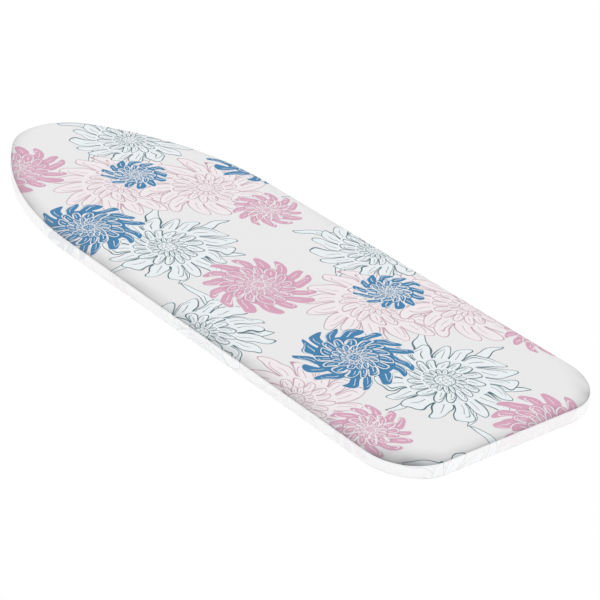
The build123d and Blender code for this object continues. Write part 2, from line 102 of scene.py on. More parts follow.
def finish_material(tree, surface):
    """Join the surface shader to a new output node."""
    output = add(tree, "OutputMaterial")
    tree.links.new(surface.outputs[0], output.inputs["Surface"])


def new_object(name, bm):
    """Turn a bmesh into an object of the scene."""
    mesh = bpy.data.meshes.new(name)
    bm.to_mesh(mesh)
    bm.free()
    piece = bpy.data.objects.new(name, mesh)
    bpy.context.scene.collection.objects.link(piece)
    return piece


# ---------------------------------------------------------------- sizes a user may change
class BoardShape(bpy.types.PropertyGroup):
    """Sizes of the board's outline, its padding and its cover."""

    side_end: bpy.props.FloatProperty(
        name="Side end", description="From the middle to a straight side's end", default=0.2175, unit="LENGTH"
    )
    nose_tip_radius: bpy.props.FloatProperty(
        name="Nose tip radius", description="Radius of the nose's tip", default=0.1126, unit="LENGTH"
    )
    tail_corner_radius: bpy.props.FloatProperty(
        name="Tail corner radius", description="Radius of the tail's corners", default=0.0933, unit="LENGTH"
    )
    crown_width: bpy.props.FloatProperty(
        name="Crown width", description="Width of the padding's rounded edge", default=0.030, unit="LENGTH"
    )
    crown_drop: bpy.props.FloatProperty(
        name="Crown drop", description="How far the padding falls at the seam", default=0.0045, unit="LENGTH"
    )
    tail_drop: bpy.props.FloatProperty(
        name="Tail drop", description="How much further the padding falls at the tail", default=0.4
    )
    crown_power: bpy.props.FloatProperty(
        name="Crown power", description="How late the padding falls off", default=2.6
    )
    corner_softness: bpy.props.FloatProperty(
        name="Corner softness", description="How much wider the crown is at the tail's corners", default=0.6
    )
    unevenness: bpy.props.FloatProperty(
        name="Unevenness", description="Height of the padding's soft waves", default=0.0005, unit="LENGTH"
    )
    seam_groove: bpy.props.FloatProperty(
        name="Seam groove", description="Depth of the pressed seam", default=0.0008, unit="LENGTH"
    )
    seam_shade: bpy.props.FloatProperty(
        name="Seam shade", description="Width of the shade beside the seam", default=0.0035, unit="LENGTH"
    )
    dent_depth: bpy.props.FloatProperty(
        name="Dent depth", description="Depth of dents in the rounded edge", default=0.0008, unit="LENGTH"
    )
    hem_sag: bpy.props.FloatProperty(
        name="Hem sag", description="How much lower the band hangs at the tail", default=0.006, unit="LENGTH"
    )
    side_sag: bpy.props.FloatProperty(
        name="Side sag", description="Share of the hem sag gained per half length to the nose", default=0.48
    )
    hem_width: bpy.props.FloatProperty(
        name="Hem width", description="Width of the hem under the rim", default=0.025, unit="LENGTH"
    )
    casing_radius: bpy.props.FloatProperty(
        name="Casing radius", description="Radius of the hem's cord casing", default=0.0022, unit="LENGTH"
    )
    pucker_pitch: bpy.props.FloatProperty(
        name="Pucker pitch", description="Distance from gather to gather", default=0.012, unit="LENGTH"
    )
    pucker_height: bpy.props.FloatProperty(
        name="Pucker height", description="Height of a gather in a bend", default=0.0016, unit="LENGTH"
    )
    cloth_thickness: bpy.props.FloatProperty(
        name="Cloth thickness", description="Thickness of the cover's cloth", default=0.0007, unit="LENGTH"
    )
    mesh_long_pitch: bpy.props.FloatProperty(
        name="Mesh length", description="Length of a diamond of the steel mesh", default=0.024, unit="LENGTH"
    )
    mesh_short_pitch: bpy.props.FloatProperty(
        name="Mesh width", description="Width of a diamond of the steel mesh", default=0.012, unit="LENGTH"
    )
    mesh_strand: bpy.props.FloatProperty(
        name="Mesh strand", description="Width of a strand of the steel mesh", default=0.0018, unit="LENGTH"
    )


class BoardColours(bpy.types.PropertyGroup):
    """Colours of the cloth and its print."""

    cloth: bpy.props.StringProperty(name="Cloth", description="Ground of the cloth", default="#E6E5E6")
    # The side band's whiter cloth is partly painted light for the bright light on the band.
    skirt: bpy.props.StringProperty(name="Skirt", description="Cloth of the side wall", default="#F0F0F1")
    blue: bpy.props.StringProperty(name="Blue", description="Solid blue flowers", default="#397DAA")
    pink: bpy.props.StringProperty(name="Pink", description="Solid pink flowers", default="#D3A0B7")
    teal: bpy.props.StringProperty(name="Teal", description="Lines of bluish flowers", default="#4B6A72")
    aqua: bpy.props.StringProperty(name="Aqua", description="Ground of bluish flowers", default="#E6EBED")
    blush: bpy.props.StringProperty(name="Blush", description="Lines of pinkish flowers", default="#BC9DA6")
    rose: bpy.props.StringProperty(name="Rose", description="Ground of pinkish flowers", default="#ECE5E8")


class StageSettings(bpy.types.PropertyGroup):
    """Camera and floor of the plain white studio."""

    azimuth: bpy.props.FloatProperty(
        name="Azimuth",
        description="Camera's turn about the board",
        default=math.radians(228.03),
        subtype="ANGLE",
    )
    elevation: bpy.props.FloatProperty(
        name="Elevation", description="Camera's height angle", default=math.radians(28.45), subtype="ANGLE"
    )
    roll: bpy.props.FloatProperty(
        name="Roll", description="Camera's roll about its view", default=math.radians(5.19), subtype="ANGLE"
    )
    distance: bpy.props.FloatProperty(
        name="Distance", description="Camera to its target", default=3.384, unit="LENGTH"
    )
    lens: bpy.props.FloatProperty(name="Lens", description="Focal length in millimetres", default=122.1)
    floor_level: bpy.props.FloatProperty(
        name="Floor level", description="Where the feet stand, legs open", default=-0.808, unit="LENGTH"
    )


# ---------------------------------------------------------------- the board's outline
# A place on the edge: its point and outward normal, its run round the edge, how much the edge
# bends there, and how near it is to the middle of a tail corner, the last three from 0 to 1.
Sample = namedtuple("Sample", "point normal run bend corner")
BEND_REACH = 50 * MM  # how far to each side the edge is looked at for its bend


def outline_arcs(shape):
    """Centre, radius and angles of each arc round the board, anticlockwise from the nose tip."""
    half_length = (COVER_HIGH.x - COVER_LOW.x) / 2
    half_width = (COVER_HIGH.y - COVER_LOW.y) / 2
    tip, corner, side_end = shape.nose_tip_radius, shape.tail_corner_radius, shape.side_end
    run = half_length - tip - side_end
    nose = (run**2 + half_width**2 - tip**2) / (2 * (half_width - tip))
    turn = math.asin(run / (nose - tip))
    quarter = math.pi / 2
    upper = [
        (side_end, half_width - nose, nose, quarter - turn, quarter),
        (corner - half_length, half_width - corner, corner, quarter, 2 * quarter),
    ]
    lower = [(x, -y, radius, -end, -start) for x, y, radius, start, end in reversed(upper)]
    return [(half_length - tip, 0.0, tip, turn - quarter, quarter - turn)] + upper + lower


def outline(shape, step):
    """Samples round the board's edge, about one step apart."""
    spots = []
    arcs = outline_arcs(shape)
    for arc, following in zip(arcs, arcs[1:] + arcs[:1]):
        x, y, radius, start, end = arc
        count = max(2, round(radius * (end - start) / step))
        for i in range(count + 1):
            angle = start + (end - start) * i / count
            normal = Vector((math.cos(angle), math.sin(angle)))
            spots.append((Vector((x, y)) + radius * normal, normal))
        last, normal = spots[-1]
        next_x, next_y, next_radius, next_start, _ = following
        rim = next_radius * Vector((math.cos(next_start), math.sin(next_start)))
        target = Vector((next_x, next_y)) + rim
        count = round((target - last).length / step)
        spots += [(last.lerp(target, i / count), normal) for i in range(1, count)]
        if count == 0:
            spots.pop()

    reach = round(BEND_REACH / step)
    runs = [0.0]
    for (here, _), (there, _) in zip(spots, spots[1:] + spots[:1]):
        runs.append(runs[-1] + (there - here).length)
    samples = []
    for i, (point, normal) in enumerate(spots):
        turn = spots[i - reach][1].angle(spots[(i + reach) % len(spots)][1])
        bend = min(1.0, turn / (2 * reach * step) * shape.tail_corner_radius)
        corner = max(0.0, -2 * normal.x * abs(normal.y))
        samples.append(Sample(point, normal, runs[i] / runs[-1], bend, corner))
    return samples, runs[-1]


# ---------------------------------------------------------------- cloth from rings
END_ROLL = 0.65  # width of the rolled edge at the nose and the tail, against the sides
ROLL_SPREAD = 0.16  # how much that width wanders
FINE_WAVES = 0.3  # height of the padding's short waves, against its long ones
SIDE_SHADE = 0.22  # how much more painted shade the rolled edge takes at the left than half way
DENT_SHADE = 0.25  # how much more painted shade over a dent
CORNER_SHADE = 0.7  # how much more painted shade the rolled edge takes at a tail corner


class Shell:
    """A cloth or felt skin grown ring by ring from the board's edge."""

    def __init__(self, shape, step):
        self.edge, self.length = outline(shape, step)
        self.bm = bmesh.new()
        self.sample = self.bm.verts.layers.int.new("sample")
        self.flat = self.bm.verts.layers.float_vector.new("flat")
        self.shade = self.bm.verts.layers.float_vector.new("shade")

    def start(self, place, *facts):
        """Lay the first closed ring and return its edges."""
        verts = bmesh.ops.create_circle(self.bm, segments=len(self.edge), radius=1)["verts"]
        for i, vert in enumerate(verts):
            vert[self.sample] = i
        self.put(verts, place, facts)
        return self.bm.edges[:]

    def grow(self, ring, place, *facts):
        """Extrude a ring, put its new points in place and return the new ring."""
        made = bmesh.ops.extrude_edge_only(self.bm, edges=ring)["geom"]
        verts = [part for part in made if isinstance(part, bmesh.types.BMVert)]
        self.put(verts, place, facts)
        inside = set(verts)
        edges = [part for part in made if isinstance(part, bmesh.types.BMEdge)]
        return [edge for edge in edges if set(edge.verts) <= inside]

    def close(self, ring, shape, inset, height, rows):
        """Carry a ring at an inset on to the board's middle line."""
        for k in range(1, rows + 1):
            ring = self.grow(ring, fill_row, shape, inset, k / rows, height)

    def put(self, verts, place, facts):
        """Set each point's place, its place in the flat cloth and its painted shade: rolled edge and seam."""
        for vert in verts:
            sample = self.edge[vert[self.sample]]
            at, height, laid, shade = place(sample, *facts)
            vert.co = (at.x, at.y, height)
            vert[self.flat] = (laid.x, laid.y, 0)
            vert[self.shade] = (*shade, 0)

    def finish(self, name):
        """Merge, face outwards, map the flat cloth to a UV map, and make the object."""
        bmesh.ops.remove_doubles(self.bm, verts=self.bm.verts, dist=1e-5)
        bmesh.ops.recalc_face_normals(self.bm, faces=self.bm.faces)
        uv = self.bm.loops.layers.uv.new("cloth")
        for face in self.bm.faces:
            face.smooth = True
            for loop in face.loops:
                loop[uv].uv = loop.vert[self.flat].xy
        return new_object(name, self.bm)


def thicken(cloth, shape):
    """Give a skin the cloth's thickness, towards its inside."""
    solid = cloth.modifiers.new("Cloth thickness", "SOLIDIFY")
    solid.thickness = shape.cloth_thickness
    solid.offset = -1


def inner_line(sample):
    """The point of the board's middle line that a point of the edge runs to."""
    reach = (COVER_HIGH.x - COVER_LOW.x) / 2
    width = (COVER_HIGH.y - COVER_LOW.y) / 2
    return Vector((min(max(sample.point.x, width - reach), reach - width), 0.0))


def soft_noise(at, along, across, seed):
    """Noise from -1 to 1 at a place on the board, with about so many waves a metre each way."""
    return noise.noise(Vector((at.x * along, at.y * across, seed)))


def rolled_share(shape, sample, inset):
    """1 at the seam, falling to 0 where the rolled edge meets the flat top."""
    sides = END_ROLL + (1 - END_ROLL) * abs(sample.normal.y)
    width = shape.crown_width * (sides + shape.corner_softness * sample.corner)
    width *= 1 + ROLL_SPREAD * soft_noise(sample.point, 13, 13, 7.1)
    return max(0.0, 1 - inset / width)


def crown(shape, sample, inset):
    """How far the padded top lies below its middle, at an inset from the edge."""
    deeper = 1 + shape.tail_drop * (max(0.0, -sample.normal.x) + sample.corner)
    return shape.crown_drop * deeper * rolled_share(shape, sample, inset) ** shape.crown_power


def ripple(shape, at):
    """The soft unevenness of padding under stretched cloth, in metres."""
    broad = soft_noise(at, 5, 7, 0.3)
    fine = soft_noise(at, 16, 18, 4.7)
    return shape.unevenness * (broad + FINE_WAVES * fine)


def top_row(sample, shape, inset, lower):
    """Place of a ring of the crowned top, lying lower than the cover's top by a given depth."""
    at = sample.point - sample.normal * inset
    groove = 2 * shape.seam_groove
    pressed = shape.seam_groove * max(0.0, 1 - inset / groove) ** 2
    waves = ripple(shape, at) * min(1, inset / shape.crown_width)
    roll = rolled_share(shape, sample, inset)
    dents = soft_noise(at, 34, 34, 2.2)
    waves += shape.dent_depth * dents * 4 * roll * (1 - roll)
    height = COVER_HIGH.z - lower - crown(shape, sample, inset) - pressed + waves
    # Painted shade on the rolled edge: heaviest along the left side and least along the right, heavier over
    # dents and at tail corners.
    shade_by_side = 1 - SIDE_SHADE + SIDE_SHADE * sample.normal.y + DENT_SHADE * dents
    painted_edge_shade = roll * (1 + CORNER_SHADE * sample.corner) / (1 + CORNER_SHADE) * shade_by_side
    # Painted dark shade beside the pressed seam.
    seam = max(0.0, 1 - inset / shape.seam_shade)
    return at, height, at, (painted_edge_shade, seam)


def fill_row(sample, shape, inset, share, height):
    """Place of a ring between the rolled edge and the middle line; the underside has no waves."""
    at = (sample.point - sample.normal * inset).lerp(inner_line(sample), share)
    waves = ripple(shape, at) if height > PAD_LOW.z + MM else 0
    return at, height + waves, at, (0, 0)


# ---------------------------------------------------------------- the print
# Period of the print along and across the cloth, in metres: a slightly skewed repeat.
REPEAT_A = Vector((0.590, 0.105))
REPEAT_B = Vector((-0.070, 0.436))
LINE_WIDTH = 1.55 * MM  # drawn line, wide enough to show
GAP_WIDTH = 2.0 * MM  # bare cloth left between solid petals
THREAD_PITCH = 1.4 * MM  # threads of the weave, coarser than the real 0.4 mm

# A flower's hand-drawn look.
RADIUS_WOBBLE = 0.26  # wobble of its outline, as a share of its radius
ANGLE_WOBBLE = 0.5  # wobble of its petals round it, in radians
LENGTH_SPREAD = 0.35  # how much its petals differ in length
LEAN = 0.45  # how far their tips lean to one side
LIP_DEPTH = 0.42  # folded lip inside a petal's outline
PLAIN_PETALS = 0.3  # share of the petals without a lip
FLORETS = 17.0  # florets of the eye along a flower's radius
FINEST_LINE = 0.42  # width of the lines near the eye, against those outside
LINE_BLUR = 1.5  # where a line fades out, against its full ink

# How far one colour of the cloth goes towards another.
UNDER_PETALS = 0.12  # an outlined flower's ground towards its line, under an upper petal
PETAL_EDGES = 0.18  # a solid petal towards dark blue, along its edges
PETAL_GAPS = 0.06  # the gaps between solid petals towards their colour
ROLLED_EDGE_SHADE = 0.85  # the cloth towards grey as painted shade, where the rolled edge is shaded most
PAINTED_SEAM_SHADE = 0.3  # the cloth towards dark grey as painted shade, at the pressed seam

# Each motif from the lowest to the topmost: kind, centre in the repeat and radius (m), petals,
# growth from ring to ring, twist, slimness, roundness, size of the eye, seed, fill and line.
MOTIFS = (
    ("outlined", (0.105, 0.095), 0.172, 6, 3.2, 0.6, 3.6, 1.35, 0.0, 3.1, "aqua", "teal"),
    ("outlined", (0.430, 0.330), 0.165, 5, 3.4, -0.7, 3.8, 1.35, 0.0, 5.7, "aqua", "teal"),
    ("outlined", (0.105, 0.095), 0.128, 17, 1.84, 0.5, 1.06, 2.2, 0.13, 1.7, "aqua", "teal"),
    ("outlined", (0.345, 0.020), 0.134, 16, 1.82, -0.5, 1.06, 2.2, 0.13, 5.3, "rose", "blush"),
    ("outlined", (0.430, 0.330), 0.118, 16, 1.86, 0.6, 1.06, 2.2, 0.13, 8.9, "aqua", "teal"),
    ("outlined", (0.190, 0.330), 0.124, 16, 1.84, -0.5, 1.06, 2.2, 0.13, 2.4, "rose", "blush"),
    ("solid", (0.235, 0.170), 0.104, 15, 1.6, 0.8, 1.22, 2.7, 0.10, 4.2, "blue", "cloth"),
    ("solid", (0.505, 0.150), 0.106, 15, 1.6, -0.7, 1.22, 2.7, 0.10, 6.6, "pink", "cloth"),
    ("solid", (0.300, 0.410), 0.066, 13, 1.64, 0.8, 1.2, 2.7, 0.12, 7.5, "blue", "cloth"),
    ("solid", (0.060, 0.290), 0.072, 13, 1.64, -0.8, 1.2, 2.7, 0.12, 9.8, "pink", "cloth"),
)


def sockets(tree, inputs, outputs):
    """Give a node group its sockets, and return its two end nodes."""
    for side, names in (("INPUT", inputs), ("OUTPUT", outputs)):
        for name in names:
            kind = "Vector" if name in ("Point", "Centre", "Offset") else "Float"
            tree.interface.new_socket(name, in_out=side, socket_type="NodeSocket" + kind)
    return tree.nodes.new("NodeGroupInput"), tree.nodes.new("NodeGroupOutput")


def repeat_group():
    """Node group: a cloth point from the nearest repeat of a motif's centre, in its radii."""
    tree = bpy.data.node_groups.new("Nearest repeat", "ShaderNodeTree")
    given, result = sockets(tree, ("Point", "Centre", "Radius"), ("Offset",))
    area = REPEAT_A.x * REPEAT_B.y - REPEAT_A.y * REPEAT_B.x
    across_a = (REPEAT_B.y / area, -REPEAT_B.x / area, 0)
    across_b = (-REPEAT_A.y / area, REPEAT_A.x / area, 0)
    away = add(tree, "VectorMath SUBTRACT", given.outputs[0], given.outputs[1])
    total = away
    for across, period in ((across_a, REPEAT_A), (across_b, REPEAT_B)):
        share = add(tree, "VectorMath DOT_PRODUCT", away, across).outputs["Value"]
        whole = add(tree, "Math ROUND", share)
        move = add(tree, "VectorMath SCALE", (-period.x, -period.y, 0), links={"Scale": whole})
        total = add(tree, "VectorMath ADD", total, move)
    inverse = add(tree, "Math DIVIDE", 1.0, given.outputs[2])
    scaled = add(tree, "VectorMath SCALE", total, links={"Scale": inverse})
    tree.links.new(scaled.outputs[0], result.inputs[0])
    return tree


def bloom_group():
    """Node group: a rosette of overlapping petals that get smaller towards its eye.

    Point is in flower radii.  Each ring of petals is Growth times the ring inside it, and
    the petals of a ring stand between those of the next, the inner ones lying on top.
    """
    tree = bpy.data.node_groups.new("Bloom", "ShaderNodeTree")
    given, result = sockets(
        tree,
        ("Point", "Petals", "Growth", "Twist", "Slimness", "Roundness", "Eye", "Seed", "Line"),
        ("Inside", "Drawn", "Rim", "Under"),
    )
    point, petals, growth, twist, slimness, roundness, eye, seed, line = given.outputs[:9]

    # A hand-drawn wobble of the whole flower.
    shift = add(tree, "CombineXYZ", seed, seed, seed)
    place = add(tree, "VectorMath ADD", point, shift)
    swing = add(tree, "Math ADD", add(tree, "TexNoise", place, None, 2.2, 1.0), -0.5)
    radius = add(tree, "VectorMath LENGTH", point).outputs["Value"]
    wobble = add(tree, "Math MULTIPLY_ADD", swing, RADIUS_WOBBLE, 1.0)
    reach = add(tree, "Math MULTIPLY", radius, wobble)
    split = add(tree, "SeparateXYZ", point)
    angle = add(tree, "Math ARCTAN2", split.outputs[1], split.outputs[0])
    swung = add(tree, "Math MULTIPLY_ADD", swing, ANGLE_WOBBLE, angle)
    turned = add(tree, "Math MULTIPLY_ADD", reach, twist, swung)

    # Which ring, and where along and across the petal.
    depth = add(tree, "Math MULTIPLY", add(tree, "Math LOGARITHM", reach, growth), -1.0)
    ring = add(tree, "Math FLOOR", depth)
    along = add(tree, "Math SUBTRACT", depth, ring)
    per_turn = add(tree, "Math DIVIDE", petals, 2 * math.pi)
    turns = add(tree, "Math MULTIPLY_ADD", turned, per_turn, add(tree, "Math MULTIPLY", ring, 0.5))
    petal = add(tree, "Math ROUND", turns)
    across = add(tree, "Math SUBTRACT", turns, petal)
    number = add(tree, "Math FLOORED_MODULO", petal, petals)
    which = add(tree, "CombineXYZ", number, ring, seed)
    chance = add(tree, "TexWhiteNoise", which, noise_dimensions="3D")
    shares = add(tree, "SeparateColor", chance.outputs["Color"])

    # The petal's outline: an arch with its tip outwards, which leans a little to one side.
    tip = add(tree, "Math SUBTRACT", 1.0, along)
    stretched = add(tree, "Math MULTIPLY_ADD", shares.outputs[0], LENGTH_SPREAD, 1.0)
    height = add(tree, "Math MULTIPLY", tip, stretched)
    to_side = add(tree, "Math ADD", shares.outputs[1], -0.5)
    leaning = add(tree, "Math MULTIPLY", add(tree, "Math MULTIPLY", tip, tip), to_side)
    bent = add(tree, "Math MULTIPLY_ADD", leaning, LEAN, across)
    sided = add(tree, "Math MULTIPLY", bent, slimness)
    width = add(tree, "Math MULTIPLY", add(tree, "Math ABSOLUTE", sided), 2.0)
    rounded = add(tree, "Math POWER", width, roundness)
    square = add(tree, "Math MULTIPLY_ADD", height, height, rounded)
    arch = add(tree, "Math SUBTRACT", square, 1.0)

    # Distances in radii, so that drawn lines keep one width all over the flower.
    rounder = add(tree, "Math POWER", width, add(tree, "Math SUBTRACT", roundness, 1.0))
    rise = add(tree, "Math MULTIPLY", add(tree, "Math MULTIPLY", rounder, roundness), slimness)
    sideways = add(tree, "Math MULTIPLY", rise, add(tree, "Math MULTIPLY", per_turn, 2.0))
    spread = add(tree, "Math LOGARITHM", growth, math.e)
    outward = add(tree, "Math DIVIDE", add(tree, "Math MULTIPLY", height, 2.0), spread)
    steep = add(tree, "VectorMath LENGTH", add(tree, "CombineXYZ", sideways, outward, 0.5))
    to_radii = add(tree, "Math DIVIDE", reach, steep.outputs["Value"])
    to_edge = add(tree, "Math MULTIPLY", add(tree, "Math ABSOLUTE", arch), to_radii)
    folded = add(tree, "Math ABSOLUTE", add(tree, "Math ADD", arch, LIP_DEPTH))
    to_lip = add(tree, "Math MULTIPLY", folded, to_radii)
    bowed = add(tree, "Math DIVIDE", add(tree, "Math ABSOLUTE", bent), per_turn)
    to_crease = add(tree, "Math MULTIPLY", bowed, reach)
    to_ring = add(tree, "Math ABSOLUTE", add(tree, "Math SUBTRACT", reach, eye))
    cells = add(
        tree, "TexVoronoi", place, None, FLORETS, voronoi_dimensions="2D", feature="DISTANCE_TO_EDGE"
    )
    to_cell = add(tree, "Math DIVIDE", cells, FLORETS)

    # Each line that is drawn, and how wide it is against a petal's outline.  The small petals
    # near the eye have finer lines.
    finer = add(tree, "MapRange", reach, 0.05, 0.5, FINEST_LINE, 1.0)
    fine = add(tree, "Math MULTIPLY", line, finer)
    strokes = []
    for distance, share in (
        (to_edge, 1.0),
        (to_edge, 1.9),
        (to_lip, 0.7),
        (to_crease, 0.6),
        (to_ring, 1.0),
        (to_cell, 0.8),
    ):
        near = add(tree, "Math MULTIPLY", fine, share)
        far = add(tree, "Math MULTIPLY", fine, LINE_BLUR * share)
        ink = add(tree, "MapRange", distance, near, far, 1.0, 0.0, interpolation_type="SMOOTHSTEP")
        strokes.append(ink)
    edge, shadow, lip, crease, ring_line, florets = strokes

    # A folded lip along one side of most petals, and a crease down their middle.
    covered = add(tree, "Math LESS_THAN", arch, 0.0)
    one_side = add(tree, "Math GREATER_THAN", sided, 0.0)
    chosen = add(tree, "Math GREATER_THAN", shares.outputs[2], PLAIN_PETALS)
    has_lip = add(tree, "Math MULTIPLY", one_side, chosen)
    lip = add(tree, "Math MULTIPLY", lip, has_lip)
    half_way = add(tree, "MapRange", along, 0.45, 0.55, 0.0, 1.0)
    crease = add(tree, "Math MULTIPLY", crease, half_way)
    inner = add(tree, "Math MULTIPLY", add(tree, "Math MAXIMUM", lip, crease), covered)
    drawn = add(tree, "Math MAXIMUM", edge, inner)

    # The eye: a cushion of small florets in a ring.
    in_eye = add(tree, "Math LESS_THAN", reach, eye)
    out_eye = add(tree, "Math SUBTRACT", 1.0, in_eye)
    centre = add(tree, "Math MAXIMUM", add(tree, "Math MULTIPLY", florets, in_eye), ring_line)
    centre = add(tree, "Math MULTIPLY", centre, add(tree, "Math GREATER_THAN", eye, 0.0))

    # What lies inside the flower, what is drawn, and what lies under an upper petal.
    started = add(tree, "Math GREATER_THAN", depth, 0.0)
    outer_ring = add(tree, "Math MULTIPLY", covered, started)
    further_in = add(tree, "Math GREATER_THAN", depth, 1.0)
    inside = add(tree, "Math MAXIMUM", outer_ring, further_in)
    shown = add(tree, "Math MULTIPLY", add(tree, "Math MULTIPLY", drawn, started), out_eye)
    deeper = add(tree, "MapRange", along, 0.05, 0.5, 0.0, 1.0, interpolation_type="SMOOTHSTEP")
    between = add(tree, "Math MULTIPLY", add(tree, "Math SUBTRACT", 1.0, covered), deeper)
    under = add(tree, "Math MULTIPLY", between, out_eye)
    rim = add(tree, "Math MULTIPLY", shadow, out_eye)
    for i, socket in enumerate((inside, add(tree, "Math MAXIMUM", shown, centre), rim, under)):
        tree.links.new(socket.outputs[0], result.inputs[i])
    return tree


def printed_cloth(name, colours, base, strength):
    """Printed plain-weave cotton: matt and soft, with a faint nap at grazing angles.

    On the side band the base is whiter and the print hardly shows: a paler copy of the cloth, partly a whiter
    band and partly painted light for the bright light on the band.
    """
    material, tree = new_material(name)
    uv = add(tree, "UVMap", uv_map="cloth")
    names = ("cloth", "blue", "pink", "teal", "aqua", "blush", "rose")
    palette = {key: linear(getattr(colours, key)) for key in names}
    repeat = bpy.data.node_groups.get("Nearest repeat") or repeat_group()
    bloom = bpy.data.node_groups.get("Bloom") or bloom_group()
    colour = palette["cloth"]
    for kind, centre, radius, *facts, fill, line in MOTIFS:
        near = add(tree, "Group", node_tree=repeat)
        tree.links.new(uv.outputs[0], near.inputs[0])
        near.inputs[1].default_value = (*centre, 0)
        near.inputs[2].default_value = radius
        flower = add(tree, "Group", node_tree=bloom)
        tree.links.new(near.outputs[0], flower.inputs[0])
        width = (GAP_WIDTH if kind == "solid" else LINE_WIDTH) / 2 / radius
        for i, value in enumerate((*facts, width), start=1):
            flower.inputs[i].default_value = value
        inside, drawn, rim, under = flower.outputs
        ink, shaded, deep = palette[line], under, blend(palette[fill], palette[line], UNDER_PETALS)
        if kind == "solid":
            # Bare cloth shows between solid petals, which are darker along their edges.
            ink = blend(palette["cloth"], palette[fill], PETAL_GAPS)
            shaded = add(tree, "Math MAXIMUM", rim, under)
            deep = blend(palette[fill], linear("#101820"), PETAL_EDGES)
        filled = add(tree, "MixRGB", shaded, palette[fill], deep)
        colour = add(tree, "MixRGB", inside, colour, filled)
        colour = add(tree, "MixRGB", drawn, colour, ink)
    dressed = colour
    # A paler, faded copy of the print, partly painted light for the bright light on the side band.
    if strength < 1:
        faded = add(tree, "HueSaturation", links={"Saturation": 0.5, "Color": colour})
        dressed = add(tree, "MixRGB", strength, linear(base), faded)

    # Painted shade: over the rounded edge the cloth is painted greyer, darkest beside the seam.
    shade = add(tree, "Attribute", attribute_name="shade")
    painted_edge_shade, seam = add(tree, "SeparateXYZ", shade.outputs["Vector"]).outputs[:2]
    painted_shade_share = add(tree, "Math MULTIPLY", add(tree, "Math POWER", painted_edge_shade, 1.6), ROLLED_EDGE_SHADE)
    grey = add(tree, "MixRGB", painted_shade_share, dressed, linear("#6E6E70"))
    # Painted dark shade along the pressed seam.
    pressed = add(tree, "Math MULTIPLY", seam, PAINTED_SEAM_SHADE)
    grey = add(tree, "MixRGB", pressed, grey, linear("#2C2C2E"))

    # Threads of the plain weave.
    thread = 2 * math.pi / THREAD_PITCH
    spread = add(tree, "VectorMath MULTIPLY", uv, (thread, thread, thread))
    parts = add(tree, "SeparateXYZ", spread)
    warp = add(tree, "Math SINE", parts.outputs[0])
    weft = add(tree, "Math SINE", parts.outputs[1])
    weave = add(tree, "Math MULTIPLY", warp, weft)
    bump = add(tree, "Bump", links={"Strength": 0.25, "Distance": 0.05 * MM, "Height": weave})
    cloth = add(
        tree,
        "BsdfPrincipled",
        links={
            "Base Color": grey,
            "Roughness": 0.95,
            "IOR": 1.46,
            "Specular IOR Level": 0.2,
            "Normal": bump,
            "Sheen Weight": 0.08,
            "Sheen Roughness": 0.5,
        },
    )
    finish_material(tree, cloth)
    return material


# ---------------------------------------------------------------- other finishes
# Each finish: name, colour, second colour, metallic, IOR, lowest and highest roughness, size of
# its mottling and of its grain (mm), depth of the grain (mm) and, on drawn bars, its stretch.
FINISHES = {
    # Baked polyester powder: satin, with a faint orange peel that softens the highlights.
    "frame_paint": ("White powder coat", "#E6E8EA", "#DDDFE2", 0, 1.5, 0.36, 0.46, 90, 1.6, 0.012),
    # The same powder on sheared strands, thinner and a little rougher on their edges.
    "mesh_steel": ("Light grey powder coat", "#D0D3D6", "#C3C6CA", 0, 1.5, 0.45, 0.6, 25, 1.2, 0.01),
    # Silver powder: fine aluminium flakes under clear resin give a greyish metallic shimmer.
    "leg_paint": ("Silver powder coat", "#A9ADB1", "#A1A5AA", 0.35, 1.5, 0.36, 0.46, 30, 1.6, 0.006),
    # Bright zinc plate on pressed steel: soft cloudy blue-grey patches.
    "zinc_steel": ("Zinc plated pressed steel", "#C2C5C9", "#A9AEB4", 1, 1.5, 0.24, 0.42, 7, 0.8, 0.01),
    # Cold drawn steel: a bright skin with faint draw lines along the bar.
    "bright_steel": (
        "Bright drawn steel", "#D2D3D5", "#BEC0C3", 1, 1.5, 0.14, 0.26, 20, 0.8, 0.008, (1, 0.03, 1)
    ),
    # Oiled spring wire: darker steel with a thin brownish film.
    "spring_steel": ("Oiled spring wire", "#8D8E90", "#77736D", 1, 1.5, 0.25, 0.38, 4, 0.6, 0.008),
    # Moulded nylon from a spark-eroded tool: even satin with a fine pebble.
    "nylon_grey": ("Moulded grey nylon", "#5B5D61", "#525458", 0, 1.53, 0.42, 0.55, 30, 0.9, 0.03),
    # Moulded polypropylene: slightly waxy, with a fine pebble for the thumb.
    "grip_plastic": ("Moulded blue polypropylene", "#2F73A6", "#2A6998", 0, 1.49, 0.32, 0.45, 30, 1.1, 0.05),
    # Moulded rubber: dull, with a little dust in its pores.
    "foot_rubber": ("Moulded dark rubber", "#3C3E41", "#4A4B4D", 0, 1.52, 0.65, 0.82, 8, 1.0, 0.06),
}


def plain_finish(
    name, colour, second, metallic, ior, smooth, rough, mottle, grain, depth, stretch=(1, 1, 1)
):
    """A painted, plated or moulded surface with soft mottling and a fine grain."""
    material, tree = new_material(name)
    place = add(tree, "TexCoord").outputs["Object"]
    pulled = add(tree, "Mapping", place, links={"Scale": stretch})
    clouds = add(tree, "TexNoise", pulled, None, 1 / (mottle * MM), 2.0)
    patches = add(tree, "MapRange", clouds, 0.35, 0.65, 0.0, 1.0)
    tone = add(tree, "MixRGB", patches, linear(colour), linear(second))
    pebbles = add(tree, "TexNoise", pulled, None, 1 / (grain * MM), 1.0)
    sheen = add(tree, "MapRange", clouds, 0.3, 0.7, smooth, rough)
    bump = add(tree, "Bump", links={"Strength": 0.5, "Distance": depth * MM, "Height": pebbles})
    links = {"Base Color": tone, "Roughness": sheen, "Normal": bump, "Metallic": metallic}
    if not metallic:
        links["IOR"] = ior
    finish_material(tree, add(tree, "BsdfPrincipled", links=links))
    return material


